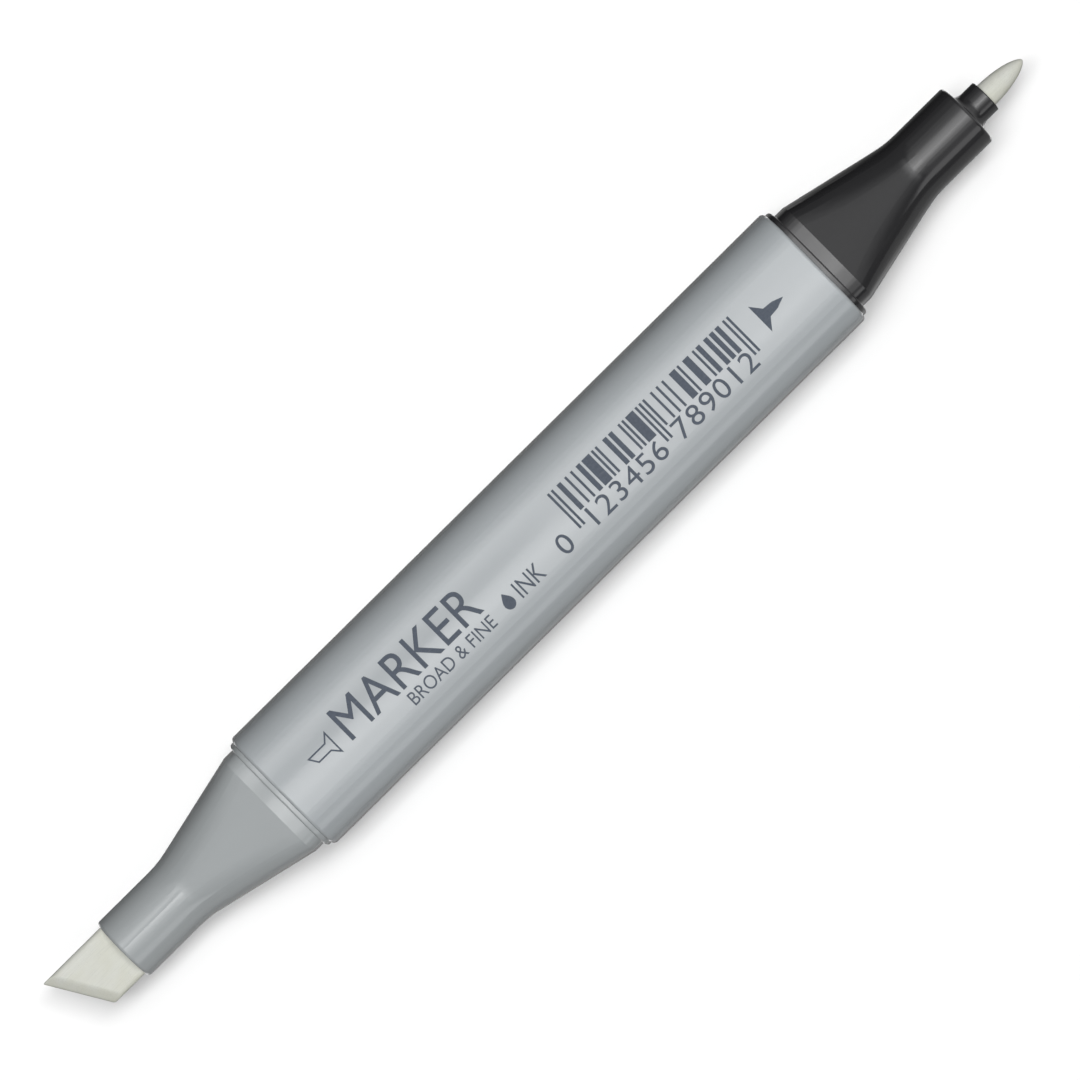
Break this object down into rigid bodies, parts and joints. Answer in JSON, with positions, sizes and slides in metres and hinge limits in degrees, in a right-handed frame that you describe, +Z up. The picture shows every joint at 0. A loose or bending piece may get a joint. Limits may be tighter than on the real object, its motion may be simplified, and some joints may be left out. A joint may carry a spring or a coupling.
{
  "type": "felt tip marker",
  "caption": "Double-ended marker with a rounded-square barrel, a slanted chisel nib at one end and a fine pointed nib at the other, shown with both caps off.",
  "frame": {"origin": "on the surface the marker lies on, below the middle of its overall length", "axes": "+X along the marker from the chisel nib to the fine nib, +Y across towards the chisel edge's long side, +Z up out of the printed face"},
  "size_m": [0.1366, 0.015, 0.015],
  "materials": {
    "barrel_plastic": "satin moulded light grey",
    "broad_neck_plastic": "satin moulded mid grey",
    "fine_neck_plastic": "satin moulded black",
    "nib_felt": "bonded fibre, matt off-white",
    "core_fibre": "loose bonded fibre",
    "film": "thin clear film",
    "print_ink": "printed dark grey ink"
  },
  "bodies": {
    "body": {"barrel": "barrel_plastic", "broad_neck": "broad_neck_plastic", "fine_neck": "fine_neck_plastic", "ink_core": "core_fibre", "core_film": "film"},
    "broad_nib": {"broad_nib": "nib_felt"},
    "fine_nib": {"fine_nib": "nib_felt"}
  },
  "joints": [
    {"name": "broad_nib_pull", "type": "slide", "parent": "body", "child": "broad_nib", "axis": [-1, 0, 0], "range_m": [0, 0.0225]},
    {"name": "fine_nib_pull", "type": "slide", "parent": "body", "child": "fine_nib", "axis": [1, 0, 0], "range_m": [0, 0.024]}
  ]
}
